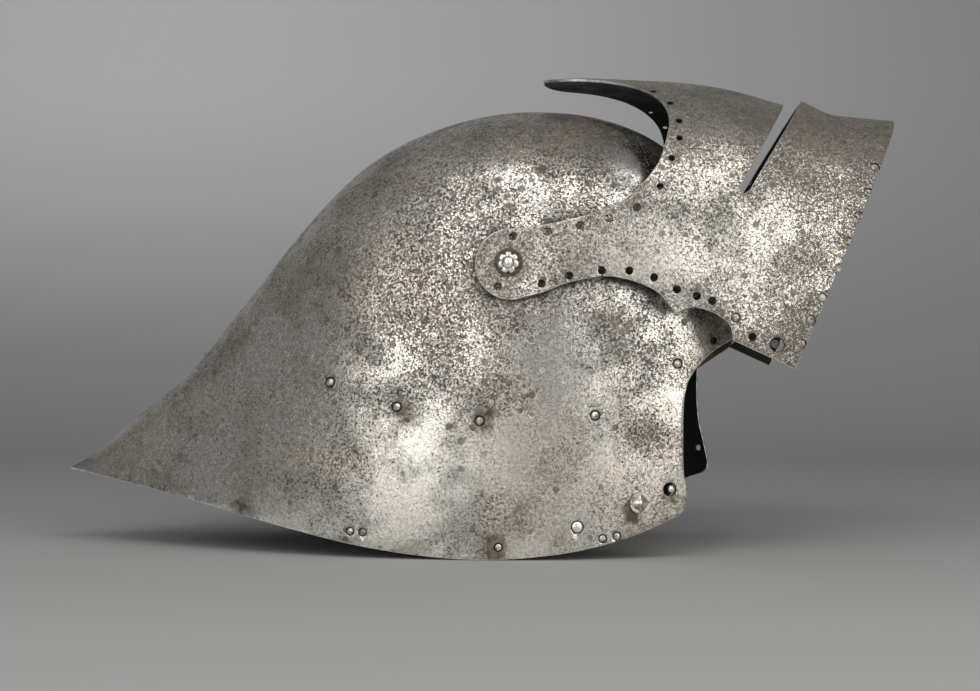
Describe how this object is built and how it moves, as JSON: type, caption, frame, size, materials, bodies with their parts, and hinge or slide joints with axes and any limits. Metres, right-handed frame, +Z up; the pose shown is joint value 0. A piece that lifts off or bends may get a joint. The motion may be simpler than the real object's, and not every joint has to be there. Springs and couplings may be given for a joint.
{
  "type": "visored sallet helmet",
  "caption": "Long-tailed steel sallet with a raised one-piece visor that turns on side pivots, a sprung catch stud, leather lining band and quilted lining.",
  "frame": {"origin": "centre of the box around the helmet with its visor raised, at the level of the rim's lowest point", "axes": "+X forward, +Y to the wearer's left, +Z up"},
  "size_m": [0.4948, 0.211, 0.2769],
  "materials": {
    "skull_steel": "bare steel, worn and pitted, with brown-grey specks",
    "visor_steel": "bare steel, densely pitted, brighter at its edges",
    "bright_steel": "polished rivet steel",
    "dark_steel": "dull, darkened rivet and spring steel",
    "leather": "dark brown vegetable-tanned strip",
    "linen": "undyed quilted linen"
  },
  "bodies": {
    "skull": {"back_lining_rivet": "dark_steel", "left_lining_rivet_1": "dark_steel", "left_lining_rivet_2": "dark_steel", "left_lining_rivet_3": "dark_steel", "left_lining_rivet_4": "dark_steel", "left_lining_rivet_5": "dark_steel", "left_pivot_burr": "dark_steel", "left_pivot_disc": "dark_steel", "left_pivot_rivet": "bright_steel", "left_pivot_rosette": "bright_steel", "left_pivot_spacer": "leather", "left_rim_rivet_1": "dark_steel", "left_rim_rivet_2": "dark_steel", "left_strap_rivet": "bright_steel", "lining": "linen", "lining_band": "leather", "lock_rivet": "dark_steel", "lock_washer": "skull_steel", "right_lining_rivet_1": "dark_steel", "right_lining_rivet_2": "dark_steel", "right_lining_rivet_3": "dark_steel", "right_lining_rivet_4": "dark_steel", "right_lining_rivet_5": "dark_steel", "right_pivot_burr": "dark_steel", "right_pivot_disc": "dark_steel", "right_pivot_rivet": "bright_steel", "right_pivot_rosette": "bright_steel", "right_pivot_spacer": "leather", "right_rim_rivet_1": "dark_steel", "right_rim_rivet_2": "dark_steel", "right_rim_rivet_3": "dark_steel", "right_rim_rivet_4": "dark_steel", "right_rim_rivet_5": "dark_steel", "right_strap_rivet": "bright_steel", "skull": "skull_steel"},
    "visor": {"left_visor_rivet_1": "bright_steel", "left_visor_rivet_2": "bright_steel", "left_visor_rivet_3": "bright_steel", "left_visor_rivet_4": "bright_steel", "left_visor_rivet_5": "bright_steel", "left_visor_rivet_6": "bright_steel", "left_visor_rivet_7": "bright_steel", "left_visor_rivet_8": "bright_steel", "left_visor_rivet_9": "bright_steel", "right_visor_rivet_1": "bright_steel", "right_visor_rivet_2": "bright_steel", "right_visor_rivet_3": "bright_steel", "right_visor_rivet_4": "bright_steel", "right_visor_rivet_5": "bright_steel", "right_visor_rivet_6": "bright_steel", "right_visor_rivet_7": "bright_steel", "right_visor_rivet_8": "bright_steel", "right_visor_rivet_9": "bright_steel", "visor": "visor_steel"},
    "lock_spring": {"lock_spring": "dark_steel", "lock_stud": "bright_steel"}
  },
  "joints": [
    {"name": "visor_hinge", "type": "hinge", "parent": "skull", "child": "visor", "pos_m": [0.0257, 0, 0.1638], "axis": [0, 1, 0], "range_deg": [-45, 37.5]},
    {"name": "lock_spring_flex", "type": "hinge", "parent": "skull", "child": "lock_spring", "pos_m": [0.09701, -0.08902, 0.02889], "axis": [0.3736, 0.0973, -0.9225], "range_deg": [-4, 11], "stiffness_Nm_per_rad": 0.5}
  ]
}
